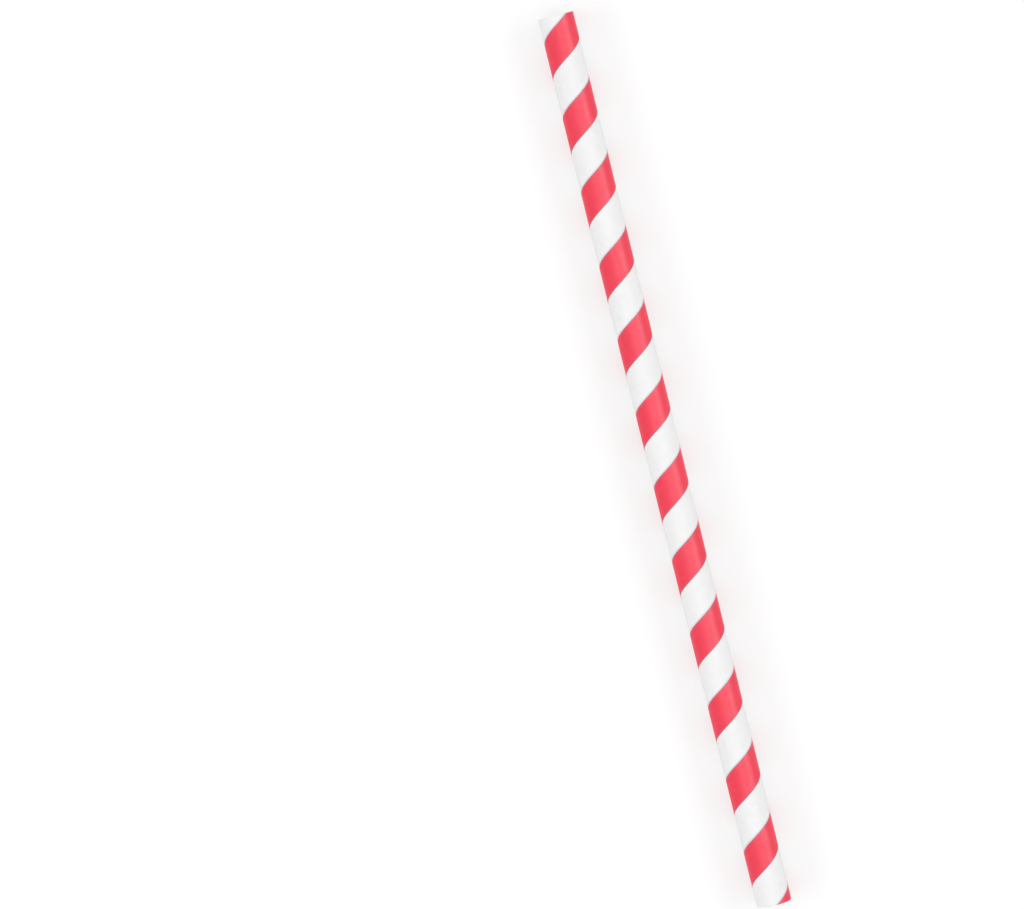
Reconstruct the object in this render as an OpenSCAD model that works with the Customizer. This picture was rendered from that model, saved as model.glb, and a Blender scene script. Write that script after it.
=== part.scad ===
// Paper drinking straw: a tube wound from paper strips, with one printed stripe to each turn.
// Millimetres. The straw lies along X on the plane z = 0, with its drinking end at +X.

/* [Straw] */
// Length from end to end, both ends cut square
straw_length = 197; // [120:1:260]
// Outside diameter of the bare paper tube
outer_diameter = 7.6; // [5:0.1:12]
// Wall of the tube, all of its plies glued together
wall = 0.45; // [0.35:0.01:0.8]

/* [Winding] */
// Advance along the straw of the outer ply in one turn
winding_pitch = 16.3; // [13:0.1:24]
// Thickness of the outer ply alone
outer_ply = 0.12; // [0.08:0.01:0.2]
// Mouth of the butt seam where the turns of the outer ply meet, along the straw
seam_mouth = 0.2; // [0.1:0.05:0.4]
// Bare paper between the stripe and the seam, along the straw
seam_margin = 0.1; // [0.05:0.05:1]

/* [Print] */
// Width of the printed stripe, along the straw
stripe_width = 7.8; // [3:0.1:10]
// Bare length from the drinking end to the first stripe, along the top line
stripe_start = 1.7; // [0:0.1:16]
// Thickness of the printed film, ink and coating together
print_film = 0.03; // [0.02:0.005:0.06]

/* [Hidden] */

paper_colour = [0.95, 0.95, 0.94];
stripe_colour = [0.90, 0.19, 0.27];

outer_radius = outer_diameter / 2;
bore_radius = outer_radius - wall;
film_radius = outer_radius + print_film;

// The film is wound in flats, as many dozens to a turn as keep all of each flat outside the paper
flats = 12 * ceil(15 / acos((outer_radius + print_film / 4) / film_radius));
flat_angle = 360 / flats;

// Extra length of the wound tube at each end, which the square cuts take off
trim = winding_pitch;

// True circles
$fn = 96;

// Angle about the axis of the edge between flats; edge 0 lies straight down, where the straw rests
function edge_angle(i) = i * flat_angle;

// Height of the stripe's upper edge on the line at an angle; the straw's top line is at 180 degrees
function stripe_edge(angle) =
    straw_length - stripe_start + winding_pitch * (angle - 180) / 360;

// Angle at which the stripe's upper edge comes to a height
function angle_at(height) =
    180 + 360 * (height - straw_length + stripe_start) / winding_pitch;

// A strip wound the whole length of the straw and past both ends.
// Its profile lists [height above the stripe's upper edge, radius] going round the section.
module wound_strip(profile) {
    corners = len(profile);
    heights = [for (corner = profile) corner[0]];
    first = floor(angle_at(-max(heights)) / flat_angle) - 1;
    last = ceil(angle_at(straw_length - min(heights)) / flat_angle) + 1;
    rings = last - first + 1;
    points = [
        for (i = [first : last], corner = profile)
            let (angle = edge_angle(i))
            [corner[1] * cos(angle), corner[1] * sin(angle), stripe_edge(angle) + corner[0]]
    ];
    sides = [
        for (ring = [0 : rings - 2], k = [0 : corners - 1])
            let (a = ring * corners + k, b = ring * corners + (k + 1) % corners)
            each [[a, b + corners, b], [a, a + corners, b + corners]]
    ];
    first_cap = [for (k = [0 : corners - 1]) k];
    last_cap = [for (k = [corners - 1 : -1 : 0]) (rings - 1) * corners + k];
    polyhedron(points, concat(sides, [first_cap, last_cap]), convexity = 20);
}

// Printed stripe, rooted in the outer ply
module stripe() {
    root_radius = outer_radius - outer_ply / 2;
    wound_strip([
        [0, root_radius],
        [0, film_radius],
        [-stripe_width, film_radius],
        [-stripe_width, root_radius]
    ]);
}

// Vee between the turns of the outer ply, down to the ply below
module butt_seam() {
    wound_strip([
        [seam_margin, film_radius],
        [seam_margin + seam_mouth / 2, outer_radius - outer_ply],
        [seam_margin + seam_mouth, film_radius]
    ]);
}

// Solid rod with the stripe on it, longer than the straw
module wound_blank() {
    color(paper_colour)
        translate([0, 0, -trim])
            cylinder(r = outer_radius, h = straw_length + 2 * trim);
    color(stripe_colour) stripe();
}

// What the square cuts leave
module cut_length() {
    cylinder(r = 2 * film_radius, h = straw_length);
}

module bore() {
    translate([0, 0, -trim])
        cylinder(r = bore_radius, h = straw_length + 2 * trim);
}

module straw() {
    translate([-straw_length / 2, 0, film_radius])
        rotate([0, 90, 0])
            difference() {
                intersection() {
                    wound_blank();
                    cut_length();
                }
                color(paper_colour) {
                    bore();
                    butt_seam();
                }
            }
}

straw();
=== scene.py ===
"""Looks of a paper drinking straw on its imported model: wound paper, its print and a plain studio."""
import logging
import math
from dataclasses import astuple, dataclass, field, replace
from enum import Enum, IntEnum
from typing import Sequence, Union

import bpy
import numpy as np
from mathutils import Matrix, Vector


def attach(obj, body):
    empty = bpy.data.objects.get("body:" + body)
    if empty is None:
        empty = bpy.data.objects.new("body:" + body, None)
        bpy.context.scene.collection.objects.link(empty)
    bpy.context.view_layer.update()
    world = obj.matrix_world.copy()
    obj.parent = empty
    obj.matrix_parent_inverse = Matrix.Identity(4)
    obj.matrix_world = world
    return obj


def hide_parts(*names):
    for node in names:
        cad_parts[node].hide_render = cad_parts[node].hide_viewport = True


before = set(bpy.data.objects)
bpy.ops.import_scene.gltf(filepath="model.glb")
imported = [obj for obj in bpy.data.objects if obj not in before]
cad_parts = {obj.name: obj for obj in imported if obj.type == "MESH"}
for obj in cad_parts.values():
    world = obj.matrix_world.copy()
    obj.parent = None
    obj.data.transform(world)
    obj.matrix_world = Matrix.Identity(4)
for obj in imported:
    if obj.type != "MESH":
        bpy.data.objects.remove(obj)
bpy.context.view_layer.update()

LOG = logging.getLogger("paper_straw")
Socket = bpy.types.NodeSocket
Value = Union[float, int, str, Sequence[float], Socket]
Colour = tuple[float, float, float]
MM = 0.001
FULL_TURN = 2.0 * math.pi


class SocketKind(Enum):
    """Kinds of socket that the trees of this scene put on their interfaces."""

    GEOMETRY = "NodeSocketGeometry"
    FLOAT = "NodeSocketFloat"
    INT = "NodeSocketInt"
    VECTOR = "NodeSocketVector"
    MATERIAL = "NodeSocketMaterial"


class Zone(IntEnum):
    """Fields of the straw's surface, each with a finish of its own."""

    PAPER = 0
    PRINT = 1
    CUT_EDGE = 2
    INSIDE = 3


class Tree:
    """A node tree that is being laid out, for shapes or for finishes."""

    # Numbers of a Mix node's sockets for colours
    MIX_START = 6
    MIX_END = 7
    MIX_RESULT = 2

    def __init__(self, tree: bpy.types.NodeTree) -> None:
        """Keep the tree that the nodes go into."""
        self.tree = tree

    @classmethod
    def group(cls, name: str, kind: str) -> "Tree":
        """Start an empty node group.

        Args:
            name: Name of the group.
            kind: Blender's name for its type of tree.

        Returns:
            The group, ready for sockets and nodes.
        """
        return cls(bpy.data.node_groups.new(name, kind))

    def socket(self, name: str, kind: SocketKind, output: bool = False) -> str:
        """Put a socket on the group's interface.

        Args:
            name: Name that the socket shows.
            kind: Kind of socket.
            output: True for a result, False for an input.

        Returns:
            The identifier that a modifier uses for the socket.
        """
        side = "OUTPUT" if output else "INPUT"
        made = self.tree.interface.new_socket(name=name, in_out=side, socket_type=kind.value)
        return made.identifier

    def add(self, kind: str, **settings: object) -> bpy.types.Node:
        """Add a node.

        Args:
            kind: Blender's name for the node type.
            settings: Properties to set on the node.

        Returns:
            The node.
        """
        node = self.tree.nodes.new(kind)
        for name, value in settings.items():
            setattr(node, name, value)
        return node

    def feed(self, target: Socket, value: Value) -> None:
        """Link a socket to an input, or set the input to a plain value.

        Args:
            target: Input socket to feed.
            value: Socket or plain value for it.
        """
        if isinstance(value, Socket):
            self.tree.links.new(value, target)
        else:
            target.default_value = value

    def math(self, operation: str, *values: Value, clamp: bool = False) -> Socket:
        """Add a Math node.

        Args:
            operation: Blender's name for the operation.
            values: Its operands.
            clamp: True to hold the result between 0 and 1.

        Returns:
            The result.
        """
        node = self.add("ShaderNodeMath", operation=operation, use_clamp=clamp)
        for target, value in zip(node.inputs, values):
            self.feed(target, value)
        return node.outputs[0]

    def blend(self, share: Socket, start: Value, end: Value) -> Socket:
        """Blend two colours.

        Args:
            share: Share of the second colour.
            start: First colour.
            end: Second colour.

        Returns:
            The blended colour.
        """
        node = self.add("ShaderNodeMix", data_type="RGBA")
        self.feed(node.inputs[0], share)
        self.feed(node.inputs[self.MIX_START], start)
        self.feed(node.inputs[self.MIX_END], end)
        return node.outputs[self.MIX_RESULT]

    def give(self, values: dict[str, Socket]) -> "Tree":
        """End the group with its results.

        Args:
            values: What comes out of its named outputs.

        Returns:
            This group.
        """
        node = self.add("NodeGroupOutput")
        for name, value in values.items():
            self.feed(node.inputs[name], value)
        return self

    def call(self, group: "Tree", values: dict[str, Value], kind: str) -> bpy.types.Node:
        """Place another group in this tree.

        Args:
            group: Group to place.
            values: What goes into its named inputs.
            kind: Blender's name for a node that holds such a group.

        Returns:
            The node that holds the group.
        """
        node = self.add(kind, node_tree=group.tree)
        for name, value in values.items():
            self.feed(node.inputs[name], value)
        return node


# Names of a ply's sizes in the shape trees, in the order of its fields
PLY_SIZES = (
    "Length", "Pitch", "Radius", "Stripe Start", "Stripe Width",
    "Film", "Shoulder", "Seam Margin", "Seam Mouth", "Seam Depth",
)


@dataclass(frozen=True)
class Ply:
    """Sizes in metres of one wound paper surface, with its stripe and its butt seam."""

    length: float
    pitch: float
    radius: float
    stripe_start: float
    stripe_width: float
    film: float
    shoulder: float
    seam_margin: float
    seam_mouth: float
    seam_depth: float

    def sizes(self) -> dict[str, float]:
        """Give the sizes under the names that the shape trees use."""
        return dict(zip(PLY_SIZES, astuple(self)))


class WindingTrees:
    """Geometry Nodes trees for a tube wound from paper strips and cut square at both ends."""

    TREE = "GeometryNodeTree"
    HOLDER = "GeometryNodeGroup"
    ROWS_PER_TURN = 13
    # Rows inside a field, as shares of the way between its borders
    FIELD_SHARES = (0.25, 0.5, 0.75)
    # Glue lines between the plies, as shares of the wall
    GLUE_LINES = (1.0 / 3.0, 2.0 / 3.0)
    # Rows of a cut end from the outside in, 1 where a glue line is sunk
    SUNK_ROWS = (0.0, 0.0, 1.0, 0.0, 0.0, 1.0, 0.0, 0.0)
    # Points that lie nearer than this, in metres, become one
    MERGE = 1.0e-6
    # Zone numbers that differ by less than this are the same
    ZONE_MATCH = 0.1

    def __init__(self) -> None:
        """Build the trees from the inside out."""
        self.profile = self.make_profile()
        self.ply = self.make_ply()
        self.end = self.make_end()
        self.identifiers: dict[str, str] = {}
        self.straw = self.make_straw()

    def make_profile(self) -> Tree:
        """Lay out the rule for the radius at a place on a ply.

        Returns:
            A group with inputs Along, Angle and the ply's sizes, and the output Radius.
        """
        tree = Tree.group("ply profile", self.TREE)
        for name in ("Along", "Angle") + PLY_SIZES:
            tree.socket(name, SocketKind.FLOAT)
        tree.socket("Radius", SocketKind.FLOAT, output=True)
        size = tree.add("NodeGroupInput").outputs
        turn = tree.math("DIVIDE", size["Angle"], FULL_TURN)
        lead = tree.math("MULTIPLY", size["Pitch"], tree.math("SUBTRACT", turn, 0.5))
        half_length = tree.math("MULTIPLY", size["Length"], 0.5)
        first = tree.math("SUBTRACT", half_length, size["Stripe Start"])
        edge = tree.math("ADD", first, lead)
        past = tree.math("SUBTRACT", size["Along"], edge)
        across = tree.math("FLOORED_MODULO", past, size["Pitch"])
        foot = tree.math("SUBTRACT", size["Pitch"], size["Stripe Width"])
        inside = tree.math(
            "MINIMUM",
            tree.math("SUBTRACT", across, foot),
            tree.math("SUBTRACT", size["Pitch"], across),
        )
        rise = tree.math("DIVIDE", inside, size["Shoulder"], clamp=True)
        half_mouth = tree.math("MULTIPLY", size["Seam Mouth"], 0.5)
        seam = tree.math("ADD", size["Seam Margin"], half_mouth)
        away = tree.math("ABSOLUTE", tree.math("SUBTRACT", across, seam))
        vee = tree.math("SUBTRACT", 1.0, tree.math("DIVIDE", away, half_mouth), clamp=True)
        printed = tree.math("MULTIPLY_ADD", size["Film"], rise, size["Radius"])
        sunk = tree.math("MULTIPLY", size["Seam Depth"], vee)
        return tree.give({"Radius": tree.math("SUBTRACT", printed, sunk)})

    @staticmethod
    def pick(tree: Tree, index: Socket, values: Sequence[Value]) -> Socket:
        """Pick one of several values by a number.

        Args:
            tree: Tree to build in.
            index: Number of the value, from 0.
            values: The values.

        Returns:
            The value picked.
        """
        node = tree.add("GeometryNodeIndexSwitch", data_type="FLOAT")
        while len(node.index_switch_items) < len(values):
            node.index_switch_items.new()
        tree.feed(node.inputs[0], index)
        for target, value in zip(node.inputs[1:], values):
            tree.feed(target, value)
        return node.outputs[0]

    def sheet(self, tree: Tree, steps: Socket, rows: Value) -> tuple[Socket, Socket, Socket]:
        """Lay a flat sheet whose columns go round the straw.

        Args:
            tree: Tree to build in.
            steps: Number of columns round the straw.
            rows: Number of rows of faces.

        Returns:
            The sheet, the angle of a point about the axis, and the number of its row.
        """
        grid = tree.add("GeometryNodeMeshGrid")
        tree.feed(grid.inputs["Size X"], steps)
        tree.feed(grid.inputs["Size Y"], rows)
        tree.feed(grid.inputs["Vertices X"], tree.math("ADD", steps, 1.0))
        tree.feed(grid.inputs["Vertices Y"], tree.math("ADD", rows, 1.0))
        place = tree.add("ShaderNodeSeparateXYZ")
        tree.feed(place.inputs[0], tree.add("GeometryNodeInputPosition").outputs[0])
        column = tree.math("ROUND", tree.math("MULTIPLY_ADD", steps, 0.5, place.outputs["X"]))
        row = tree.math("ROUND", tree.math("MULTIPLY_ADD", rows, 0.5, place.outputs["Y"]))
        turn = tree.math("DIVIDE", column, steps)
        return grid.outputs["Mesh"], tree.math("MULTIPLY", turn, FULL_TURN), row

    @staticmethod
    def store(
        tree: Tree, mesh: Socket, name: str, value: Value, kind: str, domain: str,
    ) -> Socket:
        """Keep a value on the mesh under a name.

        Args:
            tree: Tree to build in.
            mesh: Mesh to keep it on.
            name: Name of the attribute.
            value: What is kept.
            kind: Blender's name for the data type.
            domain: Blender's name for the domain.

        Returns:
            The mesh with the attribute.
        """
        node = tree.add("GeometryNodeStoreNamedAttribute", data_type=kind, domain=domain)
        tree.feed(node.inputs["Geometry"], mesh)
        tree.feed(node.inputs["Name"], name)
        tree.feed(node.inputs["Value"], value)
        return node.outputs["Geometry"]

    @staticmethod
    def recall(tree: Tree, name: str, kind: str) -> Socket:
        """Read back a value that was kept on the mesh.

        Args:
            tree: Tree to build in.
            name: Name of the attribute.
            kind: Blender's name for the data type.

        Returns:
            The value.
        """
        node = tree.add("GeometryNodeInputNamedAttribute", data_type=kind)
        tree.feed(node.inputs["Name"], name)
        return node.outputs["Attribute"]

    @staticmethod
    def wrap(
        tree: Tree, mesh: Socket, along: Socket, radius: Socket, angle: Socket, axis: Socket,
    ) -> Socket:
        """Roll a sheet round the straw's axis.

        Args:
            tree: Tree to build in.
            mesh: Flat sheet.
            along: Place along the axis.
            radius: Distance from the axis.
            angle: Angle about the axis, from straight down.
            axis: Height of the axis.

        Returns:
            The rolled mesh.
        """
        place = tree.add("ShaderNodeCombineXYZ")
        tree.feed(place.inputs["X"], along)
        tree.feed(place.inputs["Y"], tree.math("MULTIPLY", radius, tree.math("SINE", angle)))
        drop = tree.math("MULTIPLY", radius, tree.math("COSINE", angle))
        tree.feed(place.inputs["Z"], tree.math("SUBTRACT", axis, drop))
        node = tree.add("GeometryNodeSetPosition")
        tree.feed(node.inputs["Geometry"], mesh)
        tree.feed(node.inputs["Position"], place.outputs[0])
        return node.outputs["Geometry"]

    def radius_at(
        self, tree: Tree, along: Socket, angle: Socket, sizes: dict[str, Value],
    ) -> Socket:
        """Place the profile rule.

        Args:
            tree: Tree to build in.
            along: Place along the axis.
            angle: Angle about the axis.
            sizes: Sizes of the ply under their names.

        Returns:
            The radius there.
        """
        values: dict[str, Value] = {"Along": along, "Angle": angle, **sizes}
        return tree.call(self.profile, values, self.HOLDER).outputs["Radius"]

    def make_ply(self) -> Tree:
        """Lay out one wound surface, its rows along the helix so that the stripe's borders are edges.

        Returns:
            A group with the ply's sizes as inputs and its mesh as the output.
        """
        tree = Tree.group("wound ply", self.TREE)
        tree.socket("Steps", SocketKind.INT)
        tree.socket("Axis Height", SocketKind.FLOAT)
        for name in PLY_SIZES:
            tree.socket(name, SocketKind.FLOAT)
        tree.socket("Paper Zone", SocketKind.INT)
        tree.socket("Stripe Zone", SocketKind.INT)
        tree.socket("Mesh", SocketKind.GEOMETRY, output=True)
        size = tree.add("NodeGroupInput").outputs
        pitch = size["Pitch"]
        half_pitch = tree.math("MULTIPLY", pitch, 0.5)
        half_length = tree.math("MULTIPLY", size["Length"], 0.5)
        above = tree.math("ADD", size["Stripe Start"], half_pitch)
        rest = tree.math("SUBTRACT", size["Length"], size["Stripe Start"])
        span = tree.math("ADD", rest, half_pitch)
        below = tree.math("CEIL", tree.math("DIVIDE", span, pitch))
        turns = tree.math("ADD", below, tree.math("CEIL", tree.math("DIVIDE", above, pitch)))
        per_turn = float(self.ROWS_PER_TURN)
        rows = tree.math("MULTIPLY", turns, per_turn)
        mesh, angle, row = self.sheet(tree, size["Steps"], rows)
        row_middle = tree.math("ADD", row, 0.5)
        turn = tree.math("FLOOR", tree.math("DIVIDE", row_middle, per_turn))
        step = tree.math("MULTIPLY_ADD", turn, -per_turn, row)
        offset = self.pick(tree, step, self.row_places(tree, size))
        across = tree.math("MULTIPLY_ADD", turn, pitch, offset)
        mesh = self.store(tree, mesh, "across", across, "FLOAT", "POINT")
        foot = tree.math("SUBTRACT", pitch, size["Stripe Width"])
        folded = tree.math("FLOORED_MODULO", self.recall(tree, "across", "FLOAT"), pitch)
        printed = tree.math("GREATER_THAN", folded, foot)
        change = tree.math("SUBTRACT", size["Stripe Zone"], size["Paper Zone"])
        zone = tree.math("MULTIPLY_ADD", printed, change, size["Paper Zone"])
        mesh = self.store(tree, mesh, "zone", zone, "INT", "FACE")
        start = tree.math("SUBTRACT", half_length, above)
        start = tree.math("SUBTRACT", start, tree.math("MULTIPLY", below, pitch))
        lead = tree.math("MULTIPLY", pitch, tree.math("DIVIDE", angle, FULL_TURN))
        along = tree.math("ADD", tree.math("ADD", start, across), lead)
        along = tree.math("MINIMUM", along, half_length)
        along = tree.math("MAXIMUM", along, tree.math("MULTIPLY", half_length, -1.0))
        radius = self.radius_at(tree, along, angle, {name: size[name] for name in PLY_SIZES})
        mesh = self.wrap(tree, mesh, along, radius, angle, size["Axis Height"])
        return tree.give({"Mesh": mesh})

    def row_places(self, tree: Tree, size: bpy.types.NodeOutputs) -> list[Value]:
        """Give the rows of one turn, measured from the stripe's upper edge.

        Args:
            tree: Tree to build in.
            size: The ply's sizes.

        Returns:
            Thirteen places: the bare margin, the seam's vee, the bare paper and the stripe.
        """
        margin = size["Seam Margin"]
        vee = tree.math("MULTIPLY_ADD", size["Seam Mouth"], 0.5, margin)
        lip = tree.math("ADD", margin, size["Seam Mouth"])
        foot = tree.math("SUBTRACT", size["Pitch"], size["Stripe Width"])
        film_foot = tree.math("ADD", foot, size["Shoulder"])
        film_head = tree.math("SUBTRACT", size["Pitch"], size["Shoulder"])
        paper = tree.math("SUBTRACT", foot, lip)
        film = tree.math("SUBTRACT", film_head, film_foot)
        bare = [tree.math("MULTIPLY_ADD", paper, share, lip) for share in self.FIELD_SHARES]
        inked = [tree.math("MULTIPLY_ADD", film, share, film_foot) for share in self.FIELD_SHARES]
        return [0.0, margin, vee, lip, *bare, foot, film_foot, *inked, film_head]

    def make_end(self) -> Tree:
        """Lay out a cut end: the rims of three plies with fine glue lines sunk between them.

        Returns:
            A group with the sizes of both plies as inputs and the ring's mesh as the output.
        """
        tree = Tree.group("cut end", self.TREE)
        tree.socket("Steps", SocketKind.INT)
        for name in ("Side", "Axis Height", "Glue Line Share", "Glue Line Depth"):
            tree.socket(name, SocketKind.FLOAT)
        for side in ("Outer ", "Bore "):
            for name in PLY_SIZES:
                tree.socket(side + name, SocketKind.FLOAT)
        tree.socket("Mesh", SocketKind.GEOMETRY, output=True)
        size = tree.add("NodeGroupInput").outputs
        mesh, angle, row = self.sheet(tree, size["Steps"], len(self.SUNK_ROWS) - 1.0)
        mesh = self.store(tree, mesh, "zone", int(Zone.CUT_EDGE), "INT", "FACE")
        half_length = tree.math("MULTIPLY", size["Outer Length"], 0.5)
        along = tree.math("MULTIPLY", half_length, size["Side"])
        outer_sizes = {name: size["Outer " + name] for name in PLY_SIZES}
        bore_sizes = {name: size["Bore " + name] for name in PLY_SIZES}
        outer = self.radius_at(tree, along, angle, outer_sizes)
        bore = self.radius_at(tree, along, angle, bore_sizes)
        half_line = tree.math("MULTIPLY", size["Glue Line Share"], 0.5)
        shares: list[Value] = [0.0]
        for line in self.GLUE_LINES:
            shares.append(tree.math("SUBTRACT", line, half_line))
            shares.append(line)
            shares.append(tree.math("ADD", line, half_line))
        shares.append(1.0)
        share = self.pick(tree, row, shares)
        sunk = self.pick(tree, row, self.SUNK_ROWS)
        inset = tree.math("MULTIPLY", sunk, size["Glue Line Depth"])
        place = tree.math("MULTIPLY", tree.math("SUBTRACT", half_length, inset), size["Side"])
        radius = tree.math("MULTIPLY_ADD", share, tree.math("SUBTRACT", bore, outer), outer)
        mesh = self.wrap(tree, mesh, place, radius, angle, size["Axis Height"])
        return tree.give({"Mesh": mesh})

    @staticmethod
    def flip(tree: Tree, mesh: Socket) -> Socket:
        """Turn the faces of a mesh round.

        Args:
            tree: Tree to build in.
            mesh: Mesh to turn.

        Returns:
            The mesh with its faces the other way.
        """
        node = tree.add("GeometryNodeFlipFaces")
        tree.feed(node.inputs[0], mesh)
        return node.outputs[0]

    def make_straw(self) -> Tree:
        """Join the outside, the inside and both ends into one closed tube with its finishes.

        Returns:
            The tree for the straw's modifier.
        """
        tree = Tree.group("paper straw", self.TREE)
        lengths = ["Glue Line Share", "Glue Line Depth"]
        lengths += [side + name for side in ("Outer ", "Bore ") for name in PLY_SIZES]
        plan = [("Steps", SocketKind.INT), ("Axis Height", SocketKind.FLOAT)]
        plan += [(name, SocketKind.FLOAT) for name in lengths]
        plan += [(zone.name, SocketKind.MATERIAL) for zone in Zone]
        for name, kind in plan:
            self.identifiers[name] = tree.socket(name, kind)
        tree.socket("Mesh", SocketKind.GEOMETRY, output=True)
        size = tree.add("NodeGroupInput").outputs
        shared = {name: size[name] for name in ("Steps", "Axis Height")}
        parts: list[Socket] = []
        for side, paper, stripe in (
            ("Outer ", Zone.PAPER, Zone.PRINT),
            ("Bore ", Zone.INSIDE, Zone.INSIDE),
        ):
            values: dict[str, Value] = {name: size[side + name] for name in PLY_SIZES}
            values.update(shared, **{"Paper Zone": int(paper), "Stripe Zone": int(stripe)})
            mesh = tree.call(self.ply, values, self.HOLDER).outputs["Mesh"]
            parts.append(mesh if paper is Zone.PAPER else self.flip(tree, mesh))
        for side_sign in (1.0, -1.0):
            values = {name: size[name] for name in lengths}
            values.update(shared, Side=side_sign)
            mesh = tree.call(self.end, values, self.HOLDER).outputs["Mesh"]
            parts.append(mesh if side_sign > 0.0 else self.flip(tree, mesh))
        join = tree.add("GeometryNodeJoinGeometry")
        for mesh in reversed(parts):
            tree.feed(join.inputs[0], mesh)
        merge = tree.add("GeometryNodeMergeByDistance")
        tree.feed(merge.inputs["Geometry"], join.outputs[0])
        tree.feed(merge.inputs["Distance"], self.MERGE)
        smooth = tree.add("GeometryNodeSetShadeSmooth")
        tree.feed(smooth.inputs["Geometry"], merge.outputs[0])
        real = tree.add("GeometryNodeRealizeInstances")
        tree.feed(real.inputs[0], smooth.outputs[0])
        mesh = real.outputs[0]
        for zone in Zone:
            dress = tree.add("GeometryNodeSetMaterial")
            tree.feed(dress.inputs["Geometry"], mesh)
            worn = self.recall(tree, "zone", "INT")
            here = tree.math("COMPARE", worn, float(zone), self.ZONE_MATCH)
            tree.feed(dress.inputs["Selection"], here)
            tree.feed(dress.inputs["Material"], size[zone.name])
            mesh = dress.outputs[0]
        return tree.give({"Mesh": mesh})


class FinishGroups:
    """Shader groups that the finishes of the straw share."""

    TREE = "ShaderNodeTree"
    HOLDER = "ShaderNodeGroup"
    # Scale of the lay round the straw, small so that it draws the fibres out
    LAY_STRETCH = 0.12
    CLOUD_DETAIL = 3.0
    FIBRE_DETAIL = 2.0
    NOISE_ROUGHNESS = 0.55
    # Contrast of the tone, which would otherwise keep to the middle of its range
    TONE_GAIN = 2.4
    TONE_SHIFT = -0.7
    LINE_SOFTNESS = 0.2

    def __init__(self) -> None:
        """Build the groups once."""
        self.winding = self.make_winding()
        self.grain = self.make_grain()
        self.band = self.make_band()

    def make_winding(self) -> Tree:
        """Lay out the place of a point on the winding.

        Returns:
            A group with the outputs Across, measured along the straw from the stripe's upper edge,
            Radius, and Lay, coordinates that are long in the direction of the winding.
        """
        tree = Tree.group("winding", self.TREE)
        tree.socket("Place", SocketKind.VECTOR)
        for name in ("Pitch", "Edge Place", "Axis Height"):
            tree.socket(name, SocketKind.FLOAT)
        for name in ("Across", "Radius"):
            tree.socket(name, SocketKind.FLOAT, output=True)
        tree.socket("Lay", SocketKind.VECTOR, output=True)
        given = tree.add("NodeGroupInput").outputs
        place = tree.add("ShaderNodeSeparateXYZ")
        tree.feed(place.inputs[0], given["Place"])
        side = tree.math("MULTIPLY", place.outputs["Y"], -1.0)
        up = tree.math("SUBTRACT", place.outputs["Z"], given["Axis Height"])
        angle = tree.math("ARCTAN2", side, up)
        turn = tree.math("DIVIDE", angle, FULL_TURN)
        edge = tree.math("MULTIPLY_ADD", turn, given["Pitch"], given["Edge Place"])
        past = tree.math("SUBTRACT", place.outputs["X"], edge)
        across = tree.math("FLOORED_MODULO", past, given["Pitch"])
        square = tree.math("MULTIPLY_ADD", up, up, tree.math("MULTIPLY", side, side))
        lay = tree.add("ShaderNodeCombineXYZ")
        tree.feed(lay.inputs["X"], across)
        tree.feed(lay.inputs["Y"], tree.math("MULTIPLY", side, self.LAY_STRETCH))
        tree.feed(lay.inputs["Z"], tree.math("MULTIPLY", up, self.LAY_STRETCH))
        radius = tree.math("SQRT", square)
        return tree.give({"Across": across, "Radius": radius, "Lay": lay.outputs[0]})

    def make_grain(self) -> Tree:
        """Lay out the cloudy tone and the fibres of paper.

        Returns:
            A group with the outputs Tone and Height, both between 0 and 1.
        """
        tree = Tree.group("paper grain", self.TREE)
        tree.socket("Place", SocketKind.VECTOR)
        tree.socket("Lay", SocketKind.VECTOR)
        for name in ("Cloud Scale", "Fibre Scale", "Lay Share"):
            tree.socket(name, SocketKind.FLOAT)
        for name in ("Tone", "Height"):
            tree.socket(name, SocketKind.FLOAT, output=True)
        given = tree.add("NodeGroupInput").outputs
        noises: list[Socket] = []
        for where, scale, detail in (
            ("Place", "Cloud Scale", self.CLOUD_DETAIL),
            ("Place", "Fibre Scale", self.FIBRE_DETAIL),
            ("Lay", "Fibre Scale", self.FIBRE_DETAIL),
        ):
            noise = tree.add("ShaderNodeTexNoise", noise_dimensions="3D")
            tree.feed(noise.inputs["Vector"], given[where])
            tree.feed(noise.inputs["Scale"], given[scale])
            tree.feed(noise.inputs["Detail"], detail)
            tree.feed(noise.inputs["Roughness"], self.NOISE_ROUGHNESS)
            noises.append(noise.outputs[0])
        cloud, fleck, streak = noises
        change = tree.math("SUBTRACT", streak, fleck)
        fibre = tree.math("MULTIPLY_ADD", change, given["Lay Share"], fleck)
        tone = tree.math("MULTIPLY_ADD", fibre, 0.5, tree.math("MULTIPLY", cloud, 0.5))
        tone = tree.math("MULTIPLY_ADD", tone, self.TONE_GAIN, self.TONE_SHIFT, clamp=True)
        return tree.give({"Tone": tone, "Height": fibre})

    def make_band(self) -> Tree:
        """Lay out a mask that peaks on a line and falls to 0 on both sides.

        Returns:
            A group with the inputs Value, Line and Reach and the output Mask.
        """
        tree = Tree.group("soft line", self.TREE)
        for name in ("Value", "Line", "Reach"):
            tree.socket(name, SocketKind.FLOAT)
        tree.socket("Mask", SocketKind.FLOAT, output=True)
        given = tree.add("NodeGroupInput").outputs
        away = tree.math("ABSOLUTE", tree.math("SUBTRACT", given["Value"], given["Line"]))
        near = tree.math("SUBTRACT", 1.0, tree.math("DIVIDE", away, given["Reach"]), clamp=True)
        mask = tree.math("SMOOTH_MIN", near, 1.0, self.LINE_SOFTNESS, clamp=True)
        return tree.give({"Mask": mask})


class Measure(Enum):
    """What a fine line keeps to, under the names of the winding group's outputs."""

    ACROSS = "Across"
    RADIUS = "Radius"


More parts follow.
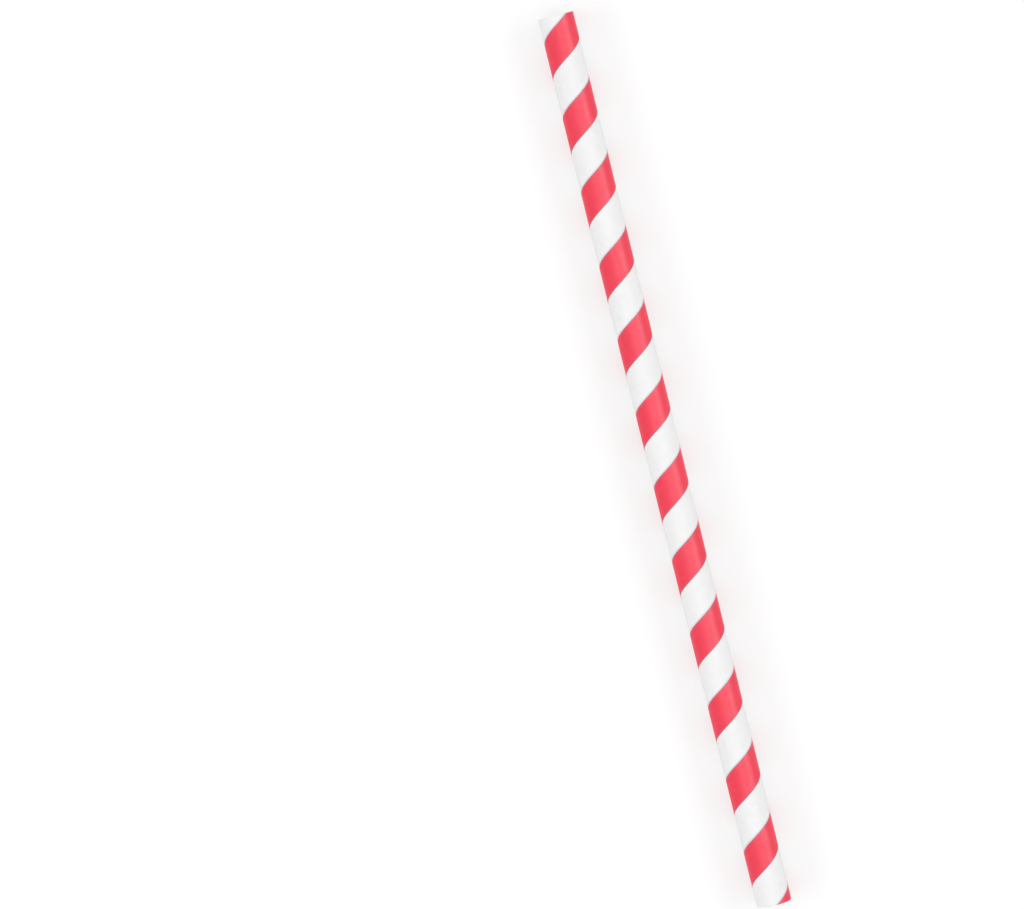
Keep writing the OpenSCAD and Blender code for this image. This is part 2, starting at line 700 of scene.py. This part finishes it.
@dataclass(frozen=True)
class SoftLine:
    """A fine line of another colour that follows the winding or a ply's rim."""

    measure: Measure
    line: float
    reach: float
    colour: Colour
    strength: float


@dataclass(frozen=True)
class PaperFinish:
    """Paper, bare or printed: its colours, its grain, its sheen and the fine lines on it."""

    name: str
    light: Colour
    dark: Colour
    rough_low: float
    rough_high: float
    specular: float
    cloud_scale: float
    fibre_scale: float
    lay_share: float
    bump: float
    lines: tuple[SoftLine, ...]
    bump_depth: float = 0.02 * MM

    def material(self, groups: FinishGroups, ply: Ply, axis_height: float) -> bpy.types.Material:
        """Make the material.

        Args:
            groups: Shared shader groups.
            ply: Ply whose winding the finish follows.
            axis_height: Height of the straw's axis.

        Returns:
            The material.
        """
        made = bpy.data.materials.new(self.name)
        made.use_nodes = True
        made.diffuse_color = (*self.light, 1.0)
        tree = Tree(made.node_tree)
        shader = made.node_tree.nodes["Principled BSDF"]
        place = tree.add("ShaderNodeTexCoord").outputs["Object"]
        winding = tree.call(groups.winding, {
            "Place": place,
            "Pitch": ply.pitch,
            "Edge Place": ply.length / 2.0 - ply.stripe_start,
            "Axis Height": axis_height,
        }, groups.HOLDER).outputs
        grain = tree.call(groups.grain, {
            "Place": place,
            "Lay": winding["Lay"],
            "Cloud Scale": self.cloud_scale,
            "Fibre Scale": self.fibre_scale,
            "Lay Share": self.lay_share,
        }, groups.HOLDER).outputs
        colour = tree.blend(grain["Tone"], (*self.light, 1.0), (*self.dark, 1.0))
        for line in self.lines:
            mask = tree.call(groups.band, {
                "Value": winding[line.measure.value],
                "Line": line.line,
                "Reach": line.reach,
            }, groups.HOLDER).outputs["Mask"]
            share = tree.math("MULTIPLY", mask, line.strength)
            colour = tree.blend(share, colour, (*line.colour, 1.0))
        tree.feed(shader.inputs["Base Color"], colour)
        span = self.rough_high - self.rough_low
        rough = tree.math("MULTIPLY_ADD", grain["Tone"], span, self.rough_low)
        tree.feed(shader.inputs["Roughness"], rough)
        shader.inputs["Specular IOR Level"].default_value = self.specular
        bump = tree.add("ShaderNodeBump")
        bump.inputs["Strength"].default_value = self.bump
        bump.inputs["Distance"].default_value = self.bump_depth
        tree.feed(bump.inputs["Height"], grain["Height"])
        tree.feed(shader.inputs["Normal"], bump.outputs[0])
        return made


@dataclass(frozen=True)
class StripRows:
    """Rows of the flat pattern that hold one zone's wound strip, in steps of the pattern's grid."""

    zone: Zone
    ply: Ply
    low: float
    high: float
    rows: int
    base: int
    height: int
    mirrored: bool = False


class FlatPattern:
    """Flat pattern of the straw for its textures, on which the stripe's borders run straight."""

    # The export looks for a piece's own pattern under this name
    NAME = "OFBake"
    # Steps of the grid to the whole pattern, and between its rows
    GRID = 512
    GAP = 2

    def __init__(self, mesh: bpy.types.Mesh, steps: int, axis_height: float) -> None:
        """Measure the corners of the mesh and the middles of their faces about the straw's axis.

        Args:
            mesh: Mesh of the straw, with the zones of its faces still on it.
            steps: Number of columns round the straw.
            axis_height: Height of the straw's axis.
        """
        self.steps = steps
        sides = self.read(mesh.polygons, "loop_total", np.int32)
        face = np.repeat(np.arange(len(sides)), sides)
        vertex = self.read(mesh.loops, "vertex_index", np.int32)
        place = self.read(mesh.vertices, "co", np.float32, 3)[vertex]
        middle = self.read(mesh.polygons, "center", np.float32, 3)[face]
        self.zone = self.read(mesh.attributes["zone"].data, "value", np.int32)[face]
        self.along = place[:, 0]
        self.middle_along = middle[:, 0]
        self.radius = np.hypot(place[:, 1], axis_height - place[:, 2])
        turn = np.arctan2(place[:, 1], axis_height - place[:, 2]) / FULL_TURN
        self.middle_turn = np.arctan2(middle[:, 1], axis_height - middle[:, 2]) / FULL_TURN
        self.turn = turn - np.round(turn - self.middle_turn)
        self.places = np.zeros((len(vertex), 2))

    @staticmethod
    def read(
        items: bpy.types.bpy_prop_collection, name: str, kind: type, width: int = 1,
    ) -> np.ndarray:
        """Read one property of many items.

        Args:
            items: Items to read.
            name: Name of the property.
            kind: Type of its numbers.
            width: How many numbers it holds.

        Returns:
            The number of each item, or a row of them for each.
        """
        found = np.empty(len(items) * width, kind)
        items.foreach_get(name, found)
        return found.reshape(-1, width) if width > 1 else found

    def lay_strip(self, strip: StripRows) -> None:
        """Lay a wound strip in rows, one above the other.

        Args:
            strip: The strip and its rows.
        """
        here = self.zone == strip.zone
        pitch = strip.ply.pitch
        start = strip.ply.length / 2.0 - strip.ply.stripe_start - pitch / 2.0
        lap = np.floor((self.middle_along[here] - start) / pitch - self.middle_turn[here])
        wound = lap + self.turn[here]
        across = self.along[here] - start - pitch * wound
        column = np.floor((lap + self.middle_turn[here]) * self.steps)
        first = column.min()
        columns = np.ceil((column.max() - first + 1.0) / strip.rows)
        row = np.floor((column - first) / columns)
        share = (wound * self.steps - first) / columns - row
        if strip.mirrored:
            share = 1.0 - share
        rise = (across - strip.low) / (strip.high - strip.low)
        foot = strip.base + row * (strip.height + self.GAP)
        self.places[here, 0] = self.GAP + share * (self.GRID - 2 * self.GAP)
        self.places[here, 1] = foot + rise * strip.height

    def lay_ends(self, low: float, high: float, base: int, height: int) -> None:
        """Lay the rims of both ends side by side.

        Args:
            low: Radius at the foot of the row.
            high: Radius at its head.
            base: Foot of the row, in steps of the grid.
            height: Its height, in steps of the grid.
        """
        here = self.zone == Zone.CUT_EDGE
        drinking = self.middle_along[here] > 0.0
        share = np.where(drinking, 0.5 - self.turn[here], 0.5 + self.turn[here])
        half = self.GRID / 2 - 2 * self.GAP
        self.places[here, 0] = self.GAP + drinking * self.GRID / 2 + share * half
        self.places[here, 1] = base + (self.radius[here] - low) / (high - low) * height

    def keep(self, mesh: bpy.types.Mesh) -> None:
        """Keep the pattern on the mesh."""
        layer = mesh.uv_layers.new(name=self.NAME)
        layer.uv.foreach_set("vector", (self.places / self.GRID).astype(np.float32).ravel())


@dataclass
class PaperStraw:
    """The straw: a tube of three glued plies with one printed stripe to each turn, on its side."""

    length: float = 197.0 * MM
    outer_radius: float = 3.8 * MM
    wall: float = 0.45 * MM
    film: float = 0.03 * MM
    pitch: float = 16.3 * MM
    stripe_start: float = 1.7 * MM
    stripe_width: float = 7.8 * MM
    shoulder: float = 0.05 * MM
    seam_margin: float = 0.1 * MM
    seam_mouth: float = 0.2 * MM
    seam_depth: float = 0.12 * MM
    bore_seam_depth: float = 0.06 * MM
    seam_reach: float = 0.16 * MM
    rim_reach: float = 0.7 * MM
    glue_line: float = 0.03 * MM
    glue_depth: float = 0.025 * MM
    steps: int = 120
    sharp_angle: float = math.radians(14.0)
    groups: FinishGroups = field(default_factory=FinishGroups)
    trees: WindingTrees = field(default_factory=WindingTrees)

    @property
    def axis_height(self) -> float:
        """Height of the axis above the surface that the straw lies on."""
        return self.outer_radius + self.film

    @property
    def bore_radius(self) -> float:
        """Radius of the bore."""
        return self.outer_radius - self.wall

    def outer_ply(self) -> Ply:
        """Give the sizes of the outside, with the stripe and the butt seam."""
        return Ply(
            length=self.length, pitch=self.pitch, radius=self.outer_radius,
            stripe_start=self.stripe_start, stripe_width=self.stripe_width,
            film=self.film, shoulder=self.shoulder, seam_margin=self.seam_margin,
            seam_mouth=self.seam_mouth, seam_depth=self.seam_depth,
        )

    def bore_ply(self) -> Ply:
        """Give the sizes of the inside, whose seam lies half a turn from the outer one."""
        return replace(
            self.outer_ply(),
            radius=self.bore_radius,
            stripe_start=self.stripe_start + self.pitch / 2.0,
            film=0.0,
            seam_depth=-self.bore_seam_depth,
        )

    def finishes(self) -> dict[Zone, PaperFinish]:
        """Give the finish of each field of the surface.

        Returns:
            A finish for each zone.
        """
        seam = self.seam_margin + self.seam_mouth / 2.0
        foot = self.pitch - self.stripe_width
        glue_radii = [self.bore_radius + share * self.wall for share in WindingTrees.GLUE_LINES]
        # Painted shade: a grey line that darkens the white paper along the butt seam's groove
        seam_painted_shade: Colour = (0.62, 0.52, 0.55)
        ink_rim: Colour = (0.60, 0.12, 0.165)
        glue: Colour = (0.62, 0.58, 0.52)
        return {
            Zone.PAPER: PaperFinish(
                name="coated_white_paper",
                light=(0.922, 0.922, 0.922), dark=(0.872, 0.872, 0.868),
                rough_low=0.60, rough_high=0.74, specular=0.2,
                cloud_scale=700.0, fibre_scale=5200.0, lay_share=0.45, bump=0.34,
                # The seam line on the white paper is painted shade in the butt seam's groove
                lines=(SoftLine(Measure.ACROSS, seam, self.seam_reach, seam_painted_shade, strength=0.6),),
            ),
            Zone.PRINT: PaperFinish(
                name="red_printed_paper",
                light=(0.902, 0.052, 0.095), dark=(0.860, 0.039, 0.076),
                rough_low=0.40, rough_high=0.51, specular=0.35,
                cloud_scale=600.0, fibre_scale=4400.0, lay_share=0.6, bump=0.26,
                lines=tuple(
                    SoftLine(Measure.ACROSS, border, self.rim_reach, ink_rim, strength=0.95)
                    for border in (self.pitch, foot)
                ),
            ),
            Zone.CUT_EDGE: PaperFinish(
                name="cut_paper_edge",
                light=(0.90, 0.89, 0.87), dark=(0.80, 0.78, 0.75),
                rough_low=0.78, rough_high=0.92, specular=0.2,
                cloud_scale=2500.0, fibre_scale=14000.0, lay_share=0.0, bump=0.35,
                lines=tuple(
                    SoftLine(Measure.RADIUS, radius, self.glue_line, glue, strength=0.8)
                    for radius in glue_radii
                ),
            ),
            Zone.INSIDE: PaperFinish(
                name="bare_inner_paper",
                light=(0.91, 0.905, 0.895), dark=(0.86, 0.855, 0.84),
                rough_low=0.66, rough_high=0.82, specular=0.25,
                cloud_scale=600.0, fibre_scale=4200.0, lay_share=0.5, bump=0.25,
                lines=(SoftLine(Measure.ACROSS, seam, self.seam_reach, glue, strength=0.8),),
            ),
        }

    def flatten(self, mesh: bpy.types.Mesh) -> None:
        """Give the mesh its flat pattern.

        Args:
            mesh: Mesh of the straw, with the zones of its faces still on it.
        """
        outer = self.outer_ply()
        bore = self.bore_ply()
        foot = self.pitch - self.stripe_width
        pattern = FlatPattern(mesh, self.steps, self.axis_height)
        for strip in (
            StripRows(Zone.PRINT, outer, foot, self.pitch, rows=4, base=2, height=48),
            StripRows(Zone.PAPER, outer, 0.0, foot, rows=4, base=202, height=52),
            StripRows(Zone.INSIDE, bore, 0.0, self.pitch, rows=2, base=418, height=36, mirrored=True),
        ):
            pattern.lay_strip(strip)
        pattern.lay_ends(self.bore_radius, self.axis_height, base=494, height=16)
        pattern.keep(mesh)

    def build(self) -> bpy.types.Object:
        """Build the straw's mesh from its tree and dress it.

        Returns:
            The straw, a plain mesh with no modifier.
        """
        outer = self.outer_ply()
        bore = self.bore_ply()
        values: dict[str, object] = {
            "Steps": self.steps,
            "Axis Height": self.axis_height,
            "Glue Line Share": self.glue_line / self.wall,
            "Glue Line Depth": self.glue_depth,
        }
        for side, ply in (("Outer ", outer), ("Bore ", bore)):
            values.update({side + name: size for name, size in ply.sizes().items()})
        for zone, finish in self.finishes().items():
            ply = bore if zone is Zone.INSIDE else outer
            values[zone.name] = finish.material(self.groups, ply, self.axis_height)
        piece = bpy.data.objects.new("wound_straw", bpy.data.meshes.new("wound_straw_blank"))
        bpy.context.scene.collection.objects.link(piece)
        modifier = piece.modifiers.new("winding", "NODES")
        modifier.node_group = self.trees.straw.tree
        for name, value in values.items():
            modifier[self.trees.identifiers[name]] = value
        depsgraph = bpy.context.evaluated_depsgraph_get()
        wound = piece.evaluated_get(depsgraph)
        mesh = bpy.data.meshes.new_from_object(wound, depsgraph=depsgraph)
        mesh.name = "wound_straw"
        piece.modifiers.clear()
        blank = piece.data
        piece.data = mesh
        bpy.data.meshes.remove(blank)
        # The tree leaves a slot with no finish, which no face wears
        empty = [index for index, finish in enumerate(mesh.materials) if finish is None]
        for index in reversed(empty):
            mesh.materials.pop(index=index)
        self.flatten(mesh)
        for name in ("across", "zone"):
            mesh.attributes.remove(mesh.attributes[name])
        mesh.set_sharp_from_angle(angle=self.sharp_angle)
        return piece

    @staticmethod
    def declare(piece: bpy.types.Object) -> None:
        """Say what the piece stands for in the frame.

        Args:
            piece: The finished straw.
        """
        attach(piece, "root")
        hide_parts("straw")


class BoxUse(Enum):
    """What a softbox is there for."""

    KEY = "lights the straw and shadows the floor"
    SHEEN = "shows only in the gloss of the print"


@dataclass(frozen=True)
class Softbox:
    """A long softbox, parallel to the straw and facing it."""

    name: str
    use: BoxUse
    angle: float
    width: float
    level: float
    length: float = 0.8
    reach: float = 0.9

    def hang(self) -> bpy.types.Object:
        """Hang the softbox, its angle measured from straight up towards the camera's right.

        Returns:
            The lamp.
        """
        data = bpy.data.lights.new(self.name, "AREA")
        data.shape = "RECTANGLE"
        data.size = self.length
        data.size_y = self.width
        data.energy = self.level * math.pi * self.length * self.width
        lamp = bpy.data.objects.new(self.name, data)
        bpy.context.scene.collection.objects.link(lamp)
        angle = math.radians(self.angle)
        up = Vector((0.0, -math.sin(angle), math.cos(angle)))
        along = Vector((1.0, 0.0, 0.0))
        turn = Matrix((along, up.cross(along), up)).transposed()
        lamp.matrix_world = Matrix.Translation(up * self.reach) @ turn.to_4x4()
        lamp.visible_diffuse = self.use is not BoxUse.SHEEN
        lamp.visible_glossy = self.use is BoxUse.SHEEN
        return lamp


SOFTBOXES = (
    Softbox("studio_right_key", BoxUse.KEY, angle=54.0, width=0.32, level=3.5),
    Softbox("studio_left_key", BoxUse.KEY, angle=-58.0, width=0.32, level=3.5),
    Softbox("studio_strip", BoxUse.SHEEN, angle=48.0, width=0.25, level=9.6),
    Softbox("studio_overhead", BoxUse.SHEEN, angle=2.0, width=1.4, level=2.4, length=1.25, reach=1.4),
)


@dataclass
class Studio:
    """A plain floor that shows white, a white surround and the softboxes."""

    floor_size: float = 6.0
    floor_colour: Colour = (0.45, 0.45, 0.45)
    floor_lift: float = 0.56
    far_lift: float = 0.72
    lamp_reach: float = 1.6
    surround: float = 0.68
    softboxes: tuple[Softbox, ...] = SOFTBOXES

    def floor(self) -> bpy.types.Object:
        """Lay the floor, which shows white but for the straw's shadow.

        Returns:
            The floor.
        """
        half = self.floor_size / 2.0
        mesh = bpy.data.meshes.new("studio_floor")
        corners = [(-half, -half), (half, -half), (half, half), (-half, half)]
        mesh.from_pydata([(*corner, 0.0) for corner in corners], [], [(0, 1, 2, 3)])
        made = bpy.data.objects.new("studio_floor", mesh)
        bpy.context.scene.collection.objects.link(made)
        mesh.materials.append(self.floor_finish())
        return made

    @staticmethod
    def seen(tree: Tree) -> Socket:
        """Add a mask for what the camera sees, straight or in a gloss.

        Args:
            tree: Tree to build in.

        Returns:
            1 for camera, glossy and transmission rays, 0 for the others.
        """
        path = tree.add("ShaderNodeLightPath").outputs
        shiny = tree.math("ADD", path["Is Glossy Ray"], path["Is Transmission Ray"])
        return tree.math("ADD", path["Is Camera Ray"], shiny, clamp=True)

    def floor_finish(self) -> bpy.types.Material:
        """Make the floor's matt finish, lifted to white where it is seen, more so far from the lamps.

        Returns:
            The material.
        """
        made = bpy.data.materials.new("studio_floor")
        made.use_nodes = True
        tree = Tree(made.node_tree)
        shader = made.node_tree.nodes["Principled BSDF"]
        shader.inputs["Base Color"].default_value = (*self.floor_colour, 1.0)
        shader.inputs["Roughness"].default_value = 1.0
        shader.inputs["Specular IOR Level"].default_value = 0.0
        shader.inputs["Emission Color"].default_value = (1.0, 1.0, 1.0, 1.0)
        away = tree.add("ShaderNodeVectorMath", operation="LENGTH")
        tree.feed(away.inputs[0], tree.add("ShaderNodeTexCoord").outputs["Object"])
        far = tree.math("DIVIDE", away.outputs["Value"], self.lamp_reach, clamp=True)
        lift = tree.math("MULTIPLY_ADD", far, self.far_lift - self.floor_lift, self.floor_lift)
        glow = tree.math("MULTIPLY", self.seen(tree), lift)
        tree.feed(shader.inputs["Emission Strength"], glow)
        return made

    def light(self) -> None:
        """Light the scene with the surround and the softboxes."""
        world = bpy.data.worlds.new("studio_surround")
        bpy.context.scene.world = world
        world.use_nodes = True
        tree = Tree(world.node_tree)
        shader = world.node_tree.nodes["Background"]
        shader.inputs["Color"].default_value = (1.0, 1.0, 1.0, 1.0)
        rest = tree.math("MULTIPLY_ADD", self.seen(tree), 1.0 - self.surround, self.surround)
        tree.feed(shader.inputs["Strength"], rest)
        for box in self.softboxes:
            box.hang()


@dataclass
class PhotoView:
    """The camera, which looks down on the straw as the photograph shows it."""

    image_width: float = 1024.0
    sensor: float = 36.0
    focal_pixels: float = 4418.6
    distance: float = 0.95
    tilt: float = math.radians(5.084)
    lean: float = math.radians(13.831)
    centre_right: float = 153.7
    centre_down: float = 8.05
    clip_near: float = 0.01
    clip_far: float = 50.0

    def place(self, target: Vector) -> bpy.types.Object:
        """Place the camera and make it the scene's own.

        Args:
            target: Middle of the straw.

        Returns:
            The camera.
        """
        data = bpy.data.cameras.new("photo_camera")
        data.sensor_width = self.sensor
        data.lens = self.focal_pixels * self.sensor / self.image_width
        data.clip_start = self.clip_near
        data.clip_end = self.clip_far
        camera = bpy.data.objects.new("photo_camera", data)
        bpy.context.scene.collection.objects.link(camera)
        back = Vector((math.sin(self.tilt), 0.0, math.cos(self.tilt)))
        end_up = Vector((math.cos(self.tilt), 0.0, -math.sin(self.tilt)))
        across = end_up.cross(back)
        up = end_up * math.cos(self.lean) + across * math.sin(self.lean)
        right = across * math.cos(self.lean) - end_up * math.sin(self.lean)
        pan = math.atan2(self.centre_right, self.focal_pixels)
        nod = math.atan2(self.centre_down, math.hypot(self.centre_right, self.focal_pixels))
        aim = Matrix((right, up, back)).transposed()
        aim = aim @ Matrix.Rotation(pan, 3, "Y") @ Matrix.Rotation(nod, 3, "X")
        camera.matrix_world = Matrix.Translation(target + back * self.distance) @ aim.to_4x4()
        bpy.context.scene.camera = camera
        return camera


def main() -> None:
    """Build the straw, the studio and the camera in order."""
    logging.basicConfig(level=logging.INFO, format="%(name)s: %(message)s")
    bpy.context.scene.view_settings.view_transform = "Standard"
    straw = PaperStraw()
    piece = straw.build()
    straw.declare(piece)
    mesh = piece.data
    LOG.info("%s: %d faces, %d finishes", piece.name, len(mesh.polygons), len(mesh.materials))
    studio = Studio()
    floor = studio.floor()
    studio.light()
    LOG.info("%s: %.1f m square", floor.name, studio.floor_size)
    camera = PhotoView().place(Vector((0.0, 0.0, straw.axis_height)))
    LOG.info("%s: %.0f mm lens", camera.name, camera.data.lens)


if __name__ == "__main__":
    main()
